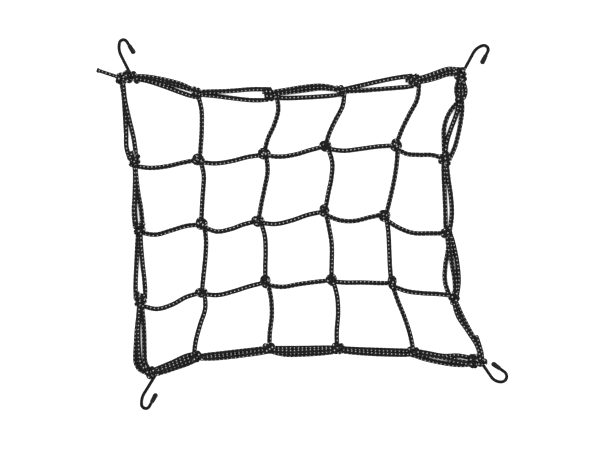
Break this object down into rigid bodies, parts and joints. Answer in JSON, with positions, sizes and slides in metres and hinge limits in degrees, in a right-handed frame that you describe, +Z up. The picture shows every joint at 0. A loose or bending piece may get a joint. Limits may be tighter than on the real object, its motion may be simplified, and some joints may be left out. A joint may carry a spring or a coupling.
{
  "type": "elastic cargo net",
  "caption": "Small elastic cargo net of knotted black bungee cord with a doubled cord border and a wire hook at each corner.",
  "frame": {"origin": "centre of the object's box in plan, on the ground that the net lies on", "axes": "+X to the right along the top border, +Y towards the top border, +Z up from the ground"},
  "size_m": [0.3828, 0.3458, 0.0075],
  "materials": {
    "braided_cord": "matt braided cord with white tracer yarns",
    "black_wire": "gloss black coating",
    "dipped_vinyl": "matt dipped coating"
  },
  "bodies": {
    "root": {"mesh_row_1": "braided_cord", "mesh_row_2": "braided_cord", "mesh_row_3": "braided_cord", "mesh_drop_1_1": "braided_cord", "mesh_drop_1_2": "braided_cord", "mesh_drop_1_3": "braided_cord", "mesh_drop_1_4": "braided_cord", "mesh_drop_2_1": "braided_cord", "mesh_drop_2_2": "braided_cord", "mesh_drop_2_3": "braided_cord", "mesh_drop_2_4": "braided_cord", "mesh_drop_3_1": "braided_cord", "mesh_drop_3_2": "braided_cord", "mesh_drop_3_3": "braided_cord", "mesh_drop_3_4": "braided_cord", "mesh_drop_4_1": "braided_cord", "mesh_drop_4_2": "braided_cord", "mesh_drop_4_3": "braided_cord", "mesh_drop_4_4": "braided_cord", "border_top": "braided_cord", "border_right": "braided_cord", "border_bottom": "braided_cord", "border_left": "braided_cord", "corner_knot_tl": "braided_cord", "corner_knot_tr": "braided_cord", "corner_knot_bl": "braided_cord", "corner_knot_br": "braided_cord", "hook_tl": "black_wire", "hook_tr": "black_wire", "hook_bl": "black_wire", "hook_br": "black_wire", "hook_tip_tl": "dipped_vinyl", "hook_tip_tr": "dipped_vinyl", "hook_tip_bl": "dipped_vinyl", "hook_tip_br": "dipped_vinyl", "cord_tail": "braided_cord"}
  },
  "joints": []
}
